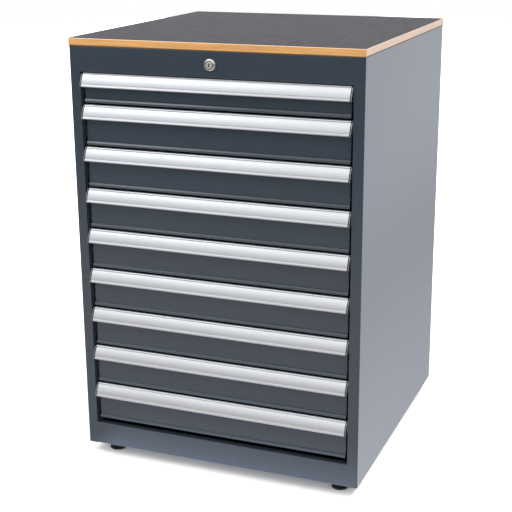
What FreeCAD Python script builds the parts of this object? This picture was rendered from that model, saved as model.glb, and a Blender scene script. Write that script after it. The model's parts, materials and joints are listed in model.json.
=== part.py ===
import FreeCAD, Part
import math
import os
import Sketcher

# Tool cabinet with nine full-extension drawers under a wood-edged worktop.
# Millimetres, +Z up, the fronts face -Y, the origin is on the floor under the middle.

SIZES = {
    "carcass_width": 710,
    "carcass_depth": 720,
    "carcass_sheet": 1.2,
    "bend_radius": 1.8,
    "stile_width": 25,
    "stile_return": 16,
    "fascia_height": 58.5,
    "fascia_return": 16,
    "plinth_height": 57,
    "plinth_ledge": 16.6,
    "rear_flange": 20,
    "board_thickness": 18,
    "board_overhang": 0.8,
    "board_edge_radius": 1.2,
    "facing_thickness": 0.8,
    "facing_inset": 1.4,
    "foot_height": 28,
    "foot_inset_side": 56,
    "foot_inset_front": 48,
    "foot_inset_rear": 48,
    "pad_diameter": 42,
    "pad_edge_height": 6,
    "pad_hub_diameter": 22,
    "stud_diameter": 10,
    "stud_above_base": 14,
    "stud_clearance": 0.5,
    "nut_width": 17,
    "nut_thickness": 8,
    "first_module": 75,
    "module": 100,
    "stack_top_gap": 0.5,
    "stack_bottom_gap": 9,
    "panel_sheet": 1,
    "panel_recess": 10,
    "panel_depth": 12,
    "panel_side_gap": 7,
    "panel_bottom_gap": 2.5,
    "panel_top_gap": 3,
    "panel_lip": 16,
    "bead_radius": 5,
    "handle_top_gap": 1,
    "handle_height": 33,
    "handle_projection": 20,
    "handle_side_gap": 3.5,
    "handle_wall": 2,
    "handle_flange": 15,
    "handle_crown_height": 4,
    "handle_crown_reach": 6.5,
    "handle_lip_height": 6.5,
    "handle_lip_reach": 3,
    "handle_lip_radius": 32,
    "handle_sweep_radius": 64,
    "handle_groove": 0.7,
    "cap_thickness": 3,
    "box_sheet": 1,
    "box_bottom_gap": 7,
    "box_top_gap": 14,
    "tab_reach": 14,
    "tab_width": 24,
    "tab_hole_width": 11,
    "tab_hole_reach": 6,
    "upright_width": 40,
    "upright_sheet": 1.2,
    "upright_front": 30,
    "upright_rear_gap": 70,
    "rail_setback": 1,
    "rail_sheet": 1.5,
    "rail_height": 23.4,
    "rail_level": 32,
    "rail_front": 20,
    "rail_depth": 7.4,
    "carriage_web": 2,
    "carriage_flange": 1.5,
    "carriage_clearance": 0.3,
    "carriage_front_gap": 3,
    "carriage_rear_gap": 37,
    "lock_hole_diameter": 19,
    "lock_body_clearance": 0.3,
    "lock_body_length": 26,
    "rosette_diameter": 28.5,
    "rosette_rim": 1.4,
    "rosette_shoulder_diameter": 26,
    "rosette_shoulder_depth": 5.6,
    "rosette_depth": 8.2,
    "rosette_nose_diameter": 20,
    "lock_nut_width": 24,
    "lock_nut_thickness": 4,
    "plug_diameter": 15,
    "plug_clearance": 0.2,
    "plug_proud": 0.8,
    "key_slot_width": 2.8,
    "key_slot_height": 7.4,
    "key_slot_depth": 5,
    "shaft_diameter": 10,
    "crank_radius": 10,
    "crank_diameter": 30,
    "crank_thickness": 4,
    "pin_diameter": 6,
    "pin_clearance": 0.6,
    "bar_width": 20,
    "bar_sheet": 2,
    "bar_head_width": 36,
    "bar_head_height": 34,
    "bar_gap": 2.6,
    "bar_end_gap": 30,
    "bar_rear_gap": 37,
    "finger_width": 8,
    "finger_rise": 16,
    "finger_below_tab": 2,
    "bracket_sheet": 2,
    "bracket_width": 52,
    "bracket_height": 24,
    "bracket_reach": 8,
    "bracket_clearance": 0.4,
    "hanger_width": 36,
    "hanger_setback": 14,
}
DRAWERS = 9
FULL_MODULES = DRAWERS - 1
FEET_PER_SIDE = 2
UPRIGHTS_PER_SIDE = 2
BAR_BRACKETS = 2
NUT_CORNERS = 6
LOCK_TURN = 90
TOUCHING = 0.0001

# Places worked out from the sizes, as expressions
HALF_WIDTH = "(Sizes.carcass_width / 2)"
INNER_HALF = f"({HALF_WIDTH} - Sizes.carcass_sheet)"
OPENING_HALF = f"({HALF_WIDTH} - Sizes.stile_width)"
STACK_HEIGHT = f"(Sizes.first_module + {FULL_MODULES} * Sizes.module)"
STACK_BASE = "(Sizes.plinth_height + Sizes.stack_bottom_gap)"
OPENING_TOP = f"({STACK_BASE} + {STACK_HEIGHT} + Sizes.stack_top_gap)"
CARCASS_HEIGHT = f"({OPENING_TOP} + Sizes.fascia_height)"
INNER_TOP = f"({CARCASS_HEIGHT} - Sizes.carcass_sheet)"
HANDLE_LIP = "(Sizes.handle_projection - Sizes.panel_recess)"
FRONT_PLANE = f"((({HANDLE_LIP}) - Sizes.carcass_depth - Sizes.board_overhang) / 2)"
REAR_FACE = "(Sizes.carcass_depth - 2 * Sizes.carcass_sheet)"
REAR_INNER = "(Sizes.carcass_depth - Sizes.carcass_sheet)"

BAR_REAR = f"({REAR_FACE} - Sizes.bar_rear_gap)"
BAR_FRONT = f"({BAR_REAR} - Sizes.bar_sheet)"
BOX_FRONT = "(Sizes.panel_recess + Sizes.panel_depth)"
BOX_REAR = f"({BAR_FRONT} - Sizes.bar_gap - Sizes.tab_reach)"
BOX_LENGTH = f"({BOX_REAR} - {BOX_FRONT})"

RAIL_OUTER = f"({OPENING_HALF} + Sizes.rail_setback)"
RAIL_WEB = f"({RAIL_OUTER} - Sizes.rail_sheet)"
RAIL_TIP = f"({RAIL_OUTER} - Sizes.rail_depth)"
CARRIAGE_OUTER = f"({RAIL_WEB} - Sizes.carriage_clearance)"
WEB_OUTER = f"({RAIL_TIP} - Sizes.carriage_clearance)"
WEB_INNER = f"({WEB_OUTER} - Sizes.carriage_web)"
BOX_RAIL_TIP = f"({WEB_INNER} - Sizes.carriage_clearance)"
BOX_HALF = f"({BOX_RAIL_TIP} - Sizes.rail_depth)"
BOX_RAIL_WEB = f"({BOX_HALF} + Sizes.rail_sheet)"
CARRIAGE_INNER = f"({BOX_RAIL_WEB} + Sizes.carriage_clearance)"

FOOT_ACROSS = f"({HALF_WIDTH} - Sizes.foot_inset_side)"
FOOT_FRONT = "Sizes.foot_inset_front"
FOOT_REAR = "(Sizes.carcass_depth - Sizes.foot_inset_rear)"
NUT_LOW = "(Sizes.foot_height - Sizes.nut_thickness)"
HANDLE_HALF = f"({OPENING_HALF} - Sizes.handle_side_gap - Sizes.cap_thickness)"

LOCK_LEVEL = f"({OPENING_TOP} + Sizes.fascia_height / 2)"
PLUG_RADIUS = "(Sizes.plug_diameter / 2)"
PIN_ACROSS = f"(Sizes.crank_radius * cos({LOCK_TURN / 2}))"
PIN_DROP = f"(Sizes.crank_radius * sin({LOCK_TURN / 2}))"
TAB_SLOT_FRONT = f"({BOX_REAR} + (Sizes.tab_reach - Sizes.tab_hole_reach) / 2)"
FINGER_FRONT = f"({TAB_SLOT_FRONT} + (Sizes.tab_hole_reach - Sizes.bar_sheet) / 2)"
CRANK_REAR = f"({BAR_FRONT} - Sizes.plug_clearance)"
CRANK_FRONT = f"({CRANK_REAR} - Sizes.crank_thickness)"
HANGER_FRONT = f"({CRANK_FRONT} - Sizes.hanger_setback)"

doc = FreeCAD.newDocument("tool_cabinet")
sheet = doc.addObject("Spreadsheet::Sheet", "Sizes")
for row, (alias, number) in enumerate(SIZES.items(), start=1):
    sheet.set(f"A{row}", alias)
    sheet.set(f"B{row}", str(number))
    sheet.setAlias(f"B{row}", alias)
doc.recompute()
sub_parts = []


def value(expression):
    """Give the number that an expression on the sheet stands for."""
    return float(sheet.evalExpression(expression))


def new_body(label, y_place="0", z_place="0"):
    """Start a sub-part whose origin lies at the given expressions."""
    body = doc.addObject("PartDesign::Body", label)
    body.Label = label
    body.setExpression("Placement.Base.y", y_place)
    body.setExpression("Placement.Base.z", z_place)
    sub_parts.append(body)
    return body


def origin_of(body, role):
    """Give the origin plane or axis of a body."""
    return next(item for item in body.Origin.OriginFeatures if item.Role == role)


def new_sketch(body, role, offset=None):
    """Attach a sketch to an origin plane, moved along its normal."""
    sketch = body.newObject("Sketcher::SketchObject", f"{body.Name}_sketch")
    sketch.AttachmentSupport = [(origin_of(body, role), "")]
    sketch.MapMode = "FlatFace"
    if offset:
        sketch.setExpression("AttachmentOffset.Base.z", offset)
    return sketch


def constrain(sketch, kind, *where):
    """Add one driven distance or radius, the last entry being its expression."""
    expression = where[-1]
    index = sketch.addConstraint(Sketcher.Constraint(kind, *where[:-1], value(expression)))
    sketch.setExpression(f"Constraints[{index}]", expression)


def arc_between(start, end, radius, side):
    """Give the short arc that bulges to the left (side 1) or right (side -1) of start to end."""
    chord = end - start
    normal = FreeCAD.Vector(-chord.y, chord.x, 0).normalize() * side
    middle = (start + end) / 2
    depth = math.sqrt(max(radius ** 2 - (chord.Length / 2) ** 2, 0))
    return Part.Arc(start, middle + normal * (radius - depth), end)


def outline(sketch, points):
    """Draw a closed loop; a point is (u, v), or (u, v, radius, side) where an arc starts."""
    places = [FreeCAD.Vector(value(point[0]), value(point[1]), 0) for point in points]
    first = sketch.GeometryCount
    count = len(points)
    starts = []
    ends = []
    for index, point in enumerate(points):
        start = places[index]
        end = places[(index + 1) % count]
        if len(point) == 2:
            sketch.addGeometry(Part.LineSegment(start, end), False)
            backwards = False
        else:
            sketch.addGeometry(arc_between(start, end, value(point[2]), point[3]), False)
            backwards = point[3] == 1
        starts.append(2 if backwards else 1)
        ends.append(1 if backwards else 2)
    for index, point in enumerate(points):
        following = (index + 1) % count
        joint = (first + index, ends[index], first + following, starts[following])
        sketch.addConstraint(Sketcher.Constraint("Coincident", *joint))
        constrain(sketch, "DistanceX", -1, 1, first + index, starts[index], point[0])
        constrain(sketch, "DistanceY", -1, 1, first + index, starts[index], point[1])
        if len(point) > 2:
            constrain(sketch, "Radius", first + index, point[2])


def rectangle(sketch, left, low, right, high):
    """Draw a closed rectangle between four expressions."""
    outline(sketch, [(left, low), (right, low), (right, high), (left, high)])


def circle(sketch, across, up, radius):
    """Draw a circle about a centre."""
    centre = FreeCAD.Vector(value(across), value(up), 0)
    index = sketch.addGeometry(Part.Circle(centre, FreeCAD.Vector(0, 0, 1), value(radius)), False)
    constrain(sketch, "DistanceX", -1, 1, index, 3, across)
    constrain(sketch, "DistanceY", -1, 1, index, 3, up)
    constrain(sketch, "Radius", index, radius)


def hexagon(sketch, across, up, flats):
    """Draw a hexagon by its width across flats."""
    corners = []
    for corner in range(NUT_CORNERS):
        angle = 360 / NUT_CORNERS * corner
        reach = f"{flats} / 2 / cos(30)"
        corners.append((f"{across} + {reach} * cos({angle})", f"{up} + {reach} * sin({angle})"))
    outline(sketch, corners)


def pad(body, sketch, length, midplane=False, back=False):
    """Pad a sketch; back pads against the plane's normal."""
    feature = body.newObject("PartDesign::Pad", f"{body.Name}_pad")
    feature.Profile = sketch
    feature.setExpression("Length", length)
    feature.Midplane = midplane
    feature.Reversed = back
    return feature


def pocket(body, sketch, length, midplane=False, back=False):
    """Cut a sketch out of a body and stop if nothing was cut."""
    doc.recompute()
    before = body.Shape.Volume
    feature = body.newObject("PartDesign::Pocket", f"{body.Name}_pocket")
    feature.Profile = sketch
    feature.setExpression("Length", length)
    feature.Midplane = midplane
    feature.Reversed = back
    doc.recompute()
    if not feature.Shape.Volume < before:
        raise RuntimeError(f"{body.Label}: a pocket cuts nothing")
    return feature


def revolve(body, sketch, axis="V_Axis"):
    """Turn a sketch fully about one of its own axes."""
    feature = body.newObject("PartDesign::Revolution", f"{body.Name}_revolution")
    feature.Profile = sketch
    feature.ReferenceAxis = (sketch, [axis])
    feature.Angle = 360
    return feature


def fillet(body, base, edges, radius):
    """Round the named edges of a feature."""
    feature = body.newObject("PartDesign::Fillet", f"{body.Name}_fillet")
    feature.Base = (base, edges)
    feature.setExpression("Radius", radius)
    return feature


def edges_through(shape, points):
    """Name the edges that pass through the given points."""
    names = []
    for number, edge in enumerate(shape.Edges, start=1):
        for point in points:
            if edge.distToShape(Part.Vertex(point))[0] < TOUCHING:
                names.append(f"Edge{number}")
    return names


def repeat(body, originals, mirrored=False, along=None, spacing=None, occurrences=1):
    """Copy features across the middle plane, along an axis, or both."""
    feature = body.newObject("PartDesign::MultiTransform", f"{body.Name}_repeat")
    feature.Originals = originals
    steps = []
    if mirrored:
        mirror = body.newObject("PartDesign::Mirrored", f"{body.Name}_mirror")
        mirror.MirrorPlane = (origin_of(body, "YZ_Plane"), [""])
        steps.append(mirror)
    if along:
        row_pattern = body.newObject("PartDesign::LinearPattern", f"{body.Name}_row")
        row_pattern.Direction = (origin_of(body, along), [""])
        row_pattern.setExpression("Length", spacing)
        row_pattern.Occurrences = occurrences
        steps.append(row_pattern)
    feature.Transformations = steps
    body.Tip = feature
    return feature


# Side panels: a sheet bent into the stile, its return and the rear flange


def side_panel(label, side):
    body = new_body(label, FRONT_PLANE, "Sizes.foot_height")
    sketch = new_sketch(body, "XY_Plane")
    sheet_edge = f"({OPENING_HALF} + Sizes.carcass_sheet)"
    flange_edge = f"({HALF_WIDTH} - Sizes.rear_flange)"
    section = [
        (OPENING_HALF, "Sizes.stile_return"),
        (OPENING_HALF, "0"),
        (HALF_WIDTH, "0"),
        (HALF_WIDTH, "Sizes.carcass_depth"),
        (flange_edge, "Sizes.carcass_depth"),
        (flange_edge, REAR_INNER),
        (INNER_HALF, REAR_INNER),
        (INNER_HALF, "Sizes.carcass_sheet"),
        (sheet_edge, "Sizes.carcass_sheet"),
        (sheet_edge, "Sizes.stile_return"),
    ]
    outline(sketch, [(f"{side} * {across}", along) for across, along in section])
    shell = pad(body, sketch, CARCASS_HEIGHT)
    doc.recompute()
    level = value(CARCASS_HEIGHT) / 2
    bends = ["0", "Sizes.carcass_depth"]
    points = [FreeCAD.Vector(side * value(HALF_WIDTH), value(along), level) for along in bends]
    fillet(body, shell, edges_through(shell.Shape, points), "Sizes.bend_radius")


# Base and top panels: each a plate with its front edge bent up or down and back again


def bent_plate(body, section, bends, plate_low):
    """Pad the bent front between the stiles and the plate between the side panels."""
    sketch = new_sketch(body, "YZ_Plane")
    outline(sketch, section)
    front = pad(body, sketch, f"2 * {OPENING_HALF}", midplane=True)
    doc.recompute()
    corners = [FreeCAD.Vector(0, 0, value(level)) for level in bends]
    fillet(body, front, edges_through(front.Shape, corners), "Sizes.bend_radius")
    plate = new_sketch(body, "XY_Plane", plate_low)
    rectangle(plate, f"-{INNER_HALF}", "Sizes.stile_return", INNER_HALF, REAR_FACE)
    pad(body, plate, "Sizes.carcass_sheet")


def base_panel():
    body = new_body("base_panel", FRONT_PLANE, "Sizes.foot_height")
    top = "Sizes.plinth_height"
    under_top = f"({top} - Sizes.carcass_sheet)"
    section = [
        ("0", "0"),
        ("0", top),
        ("Sizes.plinth_ledge", top),
        ("Sizes.plinth_ledge", under_top),
        ("Sizes.carcass_sheet", under_top),
        ("Sizes.carcass_sheet", "Sizes.carcass_sheet"),
        ("Sizes.stile_return", "Sizes.carcass_sheet"),
        ("Sizes.stile_return", "0"),
    ]
    bent_plate(body, section, ["0", top], "0")
    holes = new_sketch(body, "XY_Plane")
    radius = "(Sizes.stud_diameter / 2 + Sizes.stud_clearance)"
    for side in (-1, 1):
        for along in (FOOT_FRONT, FOOT_REAR):
            circle(holes, f"{side} * {FOOT_ACROSS}", along, radius)
    pocket(body, holes, "Sizes.carcass_sheet", back=True)


def top_panel():
    body = new_body("top_panel", FRONT_PLANE, "Sizes.foot_height")
    over_low = f"({OPENING_TOP} + Sizes.carcass_sheet)"
    section = [
        ("0", CARCASS_HEIGHT),
        ("0", OPENING_TOP),
        ("Sizes.fascia_return", OPENING_TOP),
        ("Sizes.fascia_return", over_low),
        ("Sizes.carcass_sheet", over_low),
        ("Sizes.carcass_sheet", INNER_TOP),
        ("Sizes.stile_return", INNER_TOP),
        ("Sizes.stile_return", CARCASS_HEIGHT),
    ]
    bent_plate(body, section, [OPENING_TOP, CARCASS_HEIGHT], INNER_TOP)
    hole = new_sketch(body, "XZ_Plane")
    circle(hole, "0", LOCK_LEVEL, "(Sizes.lock_hole_diameter / 2 + Sizes.lock_body_clearance)")
    pocket(body, hole, "Sizes.carcass_sheet")


def rear_panel():
    body = new_body("rear_panel", FRONT_PLANE, "Sizes.foot_height")
    sketch = new_sketch(body, "XZ_Plane", f"-{REAR_FACE}")
    rectangle(sketch, f"-{INNER_HALF}", "0", INNER_HALF, CARCASS_HEIGHT)
    pad(body, sketch, "Sizes.carcass_sheet", back=True)


# Worktop: a wood board with a thin anti-slip facing


def worktop():
    board = new_body("worktop_board", FRONT_PLANE, f"Sizes.foot_height + {CARCASS_HEIGHT}")
    half = f"({HALF_WIDTH} + Sizes.board_overhang)"
    front = "(-Sizes.board_overhang)"
    rear = "(Sizes.carcass_depth + Sizes.board_overhang)"
    sketch = new_sketch(board, "XY_Plane")
    rectangle(sketch, f"-{half}", front, half, rear)
    slab = pad(board, sketch, "Sizes.board_thickness")
    doc.recompute()
    rims = []
    for number, edge in enumerate(slab.Shape.Edges, start=1):
        if edge.BoundBox.ZLength < TOUCHING:
            rims.append(f"Edge{number}")
    fillet(board, slab, rims, "Sizes.board_edge_radius")
    level = f"Sizes.foot_height + {CARCASS_HEIGHT} + Sizes.board_thickness"
    facing = new_body("worktop_facing", FRONT_PLANE, level)
    sketch = new_sketch(facing, "XY_Plane")
    facing_half = f"({half} - Sizes.facing_inset)"
    facing_front = f"({front} + Sizes.facing_inset)"
    facing_rear = f"({rear} - Sizes.facing_inset)"
    rectangle(sketch, f"-{facing_half}", facing_front, facing_half, facing_rear)
    pad(facing, sketch, "Sizes.facing_thickness")


# Levelling feet: pads on the floor, and studs with a nut between the pad and the base


def four_feet(body, originals):
    """Repeat a front foot to all four corners."""
    spacing = f"({FOOT_REAR} - {FOOT_FRONT})"
    repeat(body, originals, mirrored=True, along="Y_Axis", spacing=spacing, occurrences=FEET_PER_SIDE)


def levelling_feet():
    body = new_body("levelling_feet", FRONT_PLANE)
    sketch = new_sketch(body, "XZ_Plane", f"-{FOOT_FRONT}")
    sketch.setExpression("AttachmentOffset.Base.x", FOOT_ACROSS)
    radius = "(Sizes.pad_diameter / 2)"
    hub = "(Sizes.pad_hub_diameter / 2)"
    outline(
        sketch,
        [
            ("0", "0"),
            (radius, "0"),
            (radius, "Sizes.pad_edge_height"),
            (hub, NUT_LOW),
            ("0", NUT_LOW),
        ],
    )
    turned = revolve(body, sketch)
    doc.recompute()
    four_feet(body, [turned])


def foot_studs():
    body = new_body("foot_studs", FRONT_PLANE)
    shank = new_sketch(body, "XY_Plane", NUT_LOW)
    circle(shank, FOOT_ACROSS, FOOT_FRONT, "(Sizes.stud_diameter / 2)")
    length = "(Sizes.nut_thickness + Sizes.carcass_sheet + Sizes.stud_above_base)"
    stud = pad(body, shank, length)
    hexagonal = new_sketch(body, "XY_Plane", NUT_LOW)
    hexagon(hexagonal, FOOT_ACROSS, FOOT_FRONT, "Sizes.nut_width")
    nut = pad(body, hexagonal, "Sizes.nut_thickness")
    doc.recompute()
    four_feet(body, [stud, nut])


# Rail uprights and fixed rails


def rail_uprights():
    body = new_body("rail_uprights", FRONT_PLANE, "Sizes.foot_height")
    sketch = new_sketch(body, "XY_Plane", "Sizes.carcass_sheet")
    front = "Sizes.upright_front"
    rear = "(Sizes.upright_front + Sizes.upright_width)"
    web = f"({RAIL_OUTER} + Sizes.upright_sheet)"
    outline(
        sketch,
        [
            (INNER_HALF, front),
            (RAIL_OUTER, front),
            (RAIL_OUTER, rear),
            (INNER_HALF, rear),
            (INNER_HALF, f"({rear} - Sizes.upright_sheet)"),
            (web, f"({rear} - Sizes.upright_sheet)"),
            (web, f"({front} + Sizes.upright_sheet)"),
            (INNER_HALF, f"({front} + Sizes.upright_sheet)"),
        ],
    )
    column = pad(body, sketch, f"({INNER_TOP} - Sizes.carcass_sheet)")
    doc.recompute()
    spacing = f"({BOX_REAR} - Sizes.upright_rear_gap - Sizes.upright_front)"
    repeat(body, [column], mirrored=True, along="Y_Axis", spacing=spacing, occurrences=UPRIGHTS_PER_SIDE)


def channel(sketch, web_back, web_face, tip, level):
    """Draw a C section that opens from its web towards the tips of its flanges."""
    high = f"({level} + Sizes.rail_height / 2)"
    low = f"({level} - Sizes.rail_height / 2)"
    outline(
        sketch,
        [
            (web_back, low),
            (tip, low),
            (tip, f"({low} + Sizes.rail_sheet)"),
            (web_face, f"({low} + Sizes.rail_sheet)"),
            (web_face, f"({high} - Sizes.rail_sheet)"),
            (tip, f"({high} - Sizes.rail_sheet)"),
            (tip, high),
            (web_back, high),
        ],
    )


def cabinet_rails():
    body = new_body("cabinet_rails", FRONT_PLANE, f"Sizes.foot_height + {STACK_BASE}")
    sketch = new_sketch(body, "XZ_Plane", "-Sizes.rail_front")
    channel(sketch, RAIL_OUTER, RAIL_WEB, RAIL_TIP, "Sizes.rail_level")
    rail = pad(body, sketch, f"({BOX_REAR} - Sizes.rail_front)", back=True)
    doc.recompute()
    spacing = f"({FULL_MODULES} * Sizes.module)"
    repeat(body, [rail], mirrored=True, along="Z_Axis", spacing=spacing, occurrences=DRAWERS)


# Central lock: a barrel in a cylinder turns a shaft, whose pin lifts the bar behind the drawers


def lock_cylinder():
    body = new_body("lock_cylinder", FRONT_PLANE, f"Sizes.foot_height + {LOCK_LEVEL}")
    sketch = new_sketch(body, "XY_Plane")
    rim = "(Sizes.rosette_diameter / 2)"
    bore = f"({PLUG_RADIUS} + Sizes.plug_clearance)"
    tube = "(Sizes.lock_hole_diameter / 2)"
    outline(
        sketch,
        [
            (bore, "(-Sizes.rosette_depth)"),
            (bore, "Sizes.lock_body_length"),
            (tube, "Sizes.lock_body_length"),
            (tube, "0"),
            (rim, "0"),
            (rim, "(-Sizes.rosette_rim)"),
            ("(Sizes.rosette_shoulder_diameter / 2)", "(-Sizes.rosette_shoulder_depth)"),
            ("(Sizes.rosette_nose_diameter / 2)", "(-Sizes.rosette_depth)"),
        ],
    )
    revolve(body, sketch)
    nut = new_sketch(body, "XZ_Plane", "-Sizes.carcass_sheet")
    hexagon(nut, "0", "0", "Sizes.lock_nut_width")
    circle(nut, "0", "0", tube)
    pad(body, nut, "Sizes.lock_nut_thickness", back=True)


def lock_barrel():
    body = new_body("lock_barrel", FRONT_PLANE, f"Sizes.foot_height + {LOCK_LEVEL}")
    face = "(-Sizes.rosette_depth - Sizes.plug_proud)"
    shaft = "(Sizes.shaft_diameter / 2)"
    crank = "(Sizes.crank_diameter / 2)"
    sketch = new_sketch(body, "XY_Plane")
    outline(
        sketch,
        [
            ("0", face),
            (f"({PLUG_RADIUS} - Sizes.plug_proud)", face),
            (PLUG_RADIUS, f"({face} + Sizes.plug_proud)"),
            (PLUG_RADIUS, "Sizes.lock_body_length"),
            (shaft, "Sizes.lock_body_length"),
            (shaft, CRANK_FRONT),
            (crank, CRANK_FRONT),
            (crank, CRANK_REAR),
            ("0", CRANK_REAR),
        ],
    )
    revolve(body, sketch)
    pin = new_sketch(body, "XZ_Plane", f"-{CRANK_REAR}")
    circle(pin, f"-{PIN_ACROSS}", f"-{PIN_DROP}", "(Sizes.pin_diameter / 2)")
    pad(body, pin, f"({BAR_REAR} + Sizes.bar_sheet - {CRANK_REAR})", back=True)
    slot = new_sketch(body, "XZ_Plane", f"-{face}")
    half_width = "Sizes.key_slot_width / 2"
    half_height = "Sizes.key_slot_height / 2"
    rectangle(slot, f"-{half_width}", f"-{half_height}", half_width, half_height)
    pocket(body, slot, "Sizes.key_slot_depth")


def tab_level(number):
    """Height of the top of a drawer's lock tab above the carcass underside."""
    return f"({drawer_base(number)} + {module_of(number)} - Sizes.box_top_gap)"


def lock_bar():
    body = new_body("lock_bar", FRONT_PLANE, "Sizes.foot_height")
    half = "(Sizes.bar_width / 2)"
    head_half = "(Sizes.bar_head_width / 2)"
    pin_level = f"({LOCK_LEVEL} - {PIN_DROP})"
    head_top = f"({pin_level} + Sizes.bar_head_height / 2)"
    head_low = f"({pin_level} - Sizes.bar_head_height / 2)"
    strip = new_sketch(body, "XZ_Plane", f"-{BAR_FRONT}")
    outline(
        strip,
        [
            (f"-{half}", "Sizes.bar_end_gap"),
            (half, "Sizes.bar_end_gap"),
            (half, head_low),
            (head_half, head_low),
            (head_half, head_top),
            (f"-{head_half}", head_top),
            (f"-{head_half}", head_low),
            (f"-{half}", head_low),
        ],
    )
    pad(body, strip, "Sizes.bar_sheet", back=True)
    arms = new_sketch(body, "YZ_Plane")
    for number in range(1, DRAWERS + 1):
        tip = f"({tab_level(number)} - Sizes.box_sheet - Sizes.finger_below_tab)"
        arm = f"({tip} - Sizes.finger_rise)"
        outline(
            arms,
            [
                (BAR_FRONT, f"({arm} - Sizes.bar_sheet)"),
                (BAR_FRONT, arm),
                (f"({FINGER_FRONT} + Sizes.bar_sheet)", arm),
                (f"({FINGER_FRONT} + Sizes.bar_sheet)", tip),
                (FINGER_FRONT, tip),
                (FINGER_FRONT, f"({arm} - Sizes.bar_sheet)"),
            ],
        )
    pad(body, arms, "Sizes.finger_width", midplane=True)
    slot = new_sketch(body, "XZ_Plane", f"-{BAR_FRONT}")
    reach = "(Sizes.pin_diameter / 2 + Sizes.pin_clearance)"
    rectangle(
        slot,
        f"(-Sizes.crank_radius - {reach})",
        f"({pin_level} - {reach})",
        f"(-{PIN_ACROSS} + {reach})",
        f"({pin_level} + {reach})",
    )
    pocket(body, slot, "Sizes.bar_sheet")


def lock_brackets():
    body = new_body("lock_brackets", FRONT_PLANE, "Sizes.foot_height")
    shelf_low = f"({drawer_base(DRAWERS)} + Sizes.rail_level - Sizes.bracket_height)"
    shelf = new_sketch(body, "YZ_Plane")
    rear_face = f"({REAR_FACE} - Sizes.bracket_sheet)"
    shelf_high = f"({shelf_low} + Sizes.bracket_sheet)"
    front = f"({BAR_FRONT} - Sizes.bracket_reach)"
    outline(
        shelf,
        [
            (front, shelf_low),
            (REAR_FACE, shelf_low),
            (REAR_FACE, f"({shelf_low} + Sizes.bracket_height)"),
            (rear_face, f"({shelf_low} + Sizes.bracket_height)"),
            (rear_face, shelf_high),
            (front, shelf_high),
        ],
    )
    guide = pad(body, shelf, "Sizes.bracket_width", midplane=True)
    slot = new_sketch(body, "XY_Plane", shelf_low)
    half = "(Sizes.bar_width / 2 + Sizes.bracket_clearance)"
    rectangle(
        slot,
        f"-{half}",
        f"({BAR_FRONT} - Sizes.bracket_clearance)",
        half,
        f"({BAR_REAR} + Sizes.bracket_clearance)",
    )
    opening = pocket(body, slot, "Sizes.bracket_sheet", back=True)
    spacing = f"({FULL_MODULES} * Sizes.module)"
    repeat(body, [guide, opening], along="Z_Axis", spacing=spacing, occurrences=BAR_BRACKETS)
    doc.recompute()
    hanger_low = f"({LOCK_LEVEL} - Sizes.hanger_width / 2)"
    hanger = new_sketch(body, "YZ_Plane")
    hanger_rear = f"({HANGER_FRONT} + Sizes.bracket_sheet)"
    foot = f"({HANGER_FRONT} - Sizes.hanger_setback)"
    outline(
        hanger,
        [
            (HANGER_FRONT, hanger_low),
            (hanger_rear, hanger_low),
            (hanger_rear, INNER_TOP),
            (foot, INNER_TOP),
            (foot, f"({INNER_TOP} - Sizes.bracket_sheet)"),
            (HANGER_FRONT, f"({INNER_TOP} - Sizes.bracket_sheet)"),
        ],
    )
    pad(body, hanger, "Sizes.hanger_width", midplane=True)
    bearing = new_sketch(body, "XZ_Plane", f"-{HANGER_FRONT}")
    circle(bearing, "0", LOCK_LEVEL, "(Sizes.shaft_diameter / 2 + Sizes.bracket_clearance)")
    pocket(body, bearing, "Sizes.bracket_sheet")


# Drawers: each drawer's own origin is in the stile plane, at the foot of its module


def module_of(number):
    """Height of a drawer's module."""
    return "Sizes.first_module" if number == 1 else "Sizes.module"


def drawer_base(number):
    """Foot of a drawer's module above the carcass underside."""
    return f"({STACK_BASE} + {DRAWERS - number} * Sizes.module)"


def drawer_body(number, piece):
    """Start one sub-part of a drawer."""
    return new_body(f"drawer_{number}_{piece}", FRONT_PLANE, f"Sizes.foot_height + {drawer_base(number)}")


def drawer_box(number):
    body = drawer_body(number, "box")
    top = f"({module_of(number)} - Sizes.box_top_gap)"
    plan = new_sketch(body, "XY_Plane", "Sizes.box_bottom_gap")
    rectangle(plan, f"-{BOX_HALF}", BOX_FRONT, BOX_HALF, BOX_REAR)
    pad(body, plan, f"({top} - Sizes.box_bottom_gap)")
    hollow = new_sketch(body, "XY_Plane", top)
    inner_half = f"({BOX_HALF} - Sizes.box_sheet)"
    inner_rear = f"({BOX_REAR} - Sizes.box_sheet)"
    rectangle(hollow, f"-{inner_half}", f"({BOX_FRONT} + Sizes.box_sheet)", inner_half, inner_rear)
    pocket(body, hollow, f"({top} - Sizes.box_bottom_gap - Sizes.box_sheet)")
    rails = new_sketch(body, "XZ_Plane", f"-{BOX_FRONT}")
    for side in (-1, 1):
        places = [f"({side} * {place})" for place in (BOX_HALF, BOX_RAIL_WEB, BOX_RAIL_TIP)]
        channel(rails, *places, "Sizes.rail_level")
    pad(body, rails, BOX_LENGTH, back=True)
    tab = new_sketch(body, "XY_Plane", f"({top} - Sizes.box_sheet)")
    half = "(Sizes.tab_width / 2)"
    rectangle(tab, f"-{half}", inner_rear, half, f"({BOX_REAR} + Sizes.tab_reach)")
    hole_half = "(Sizes.tab_hole_width / 2)"
    rectangle(tab, f"-{hole_half}", TAB_SLOT_FRONT, hole_half, f"({TAB_SLOT_FRONT} + Sizes.tab_hole_reach)")
    pad(body, tab, "Sizes.box_sheet")


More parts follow.
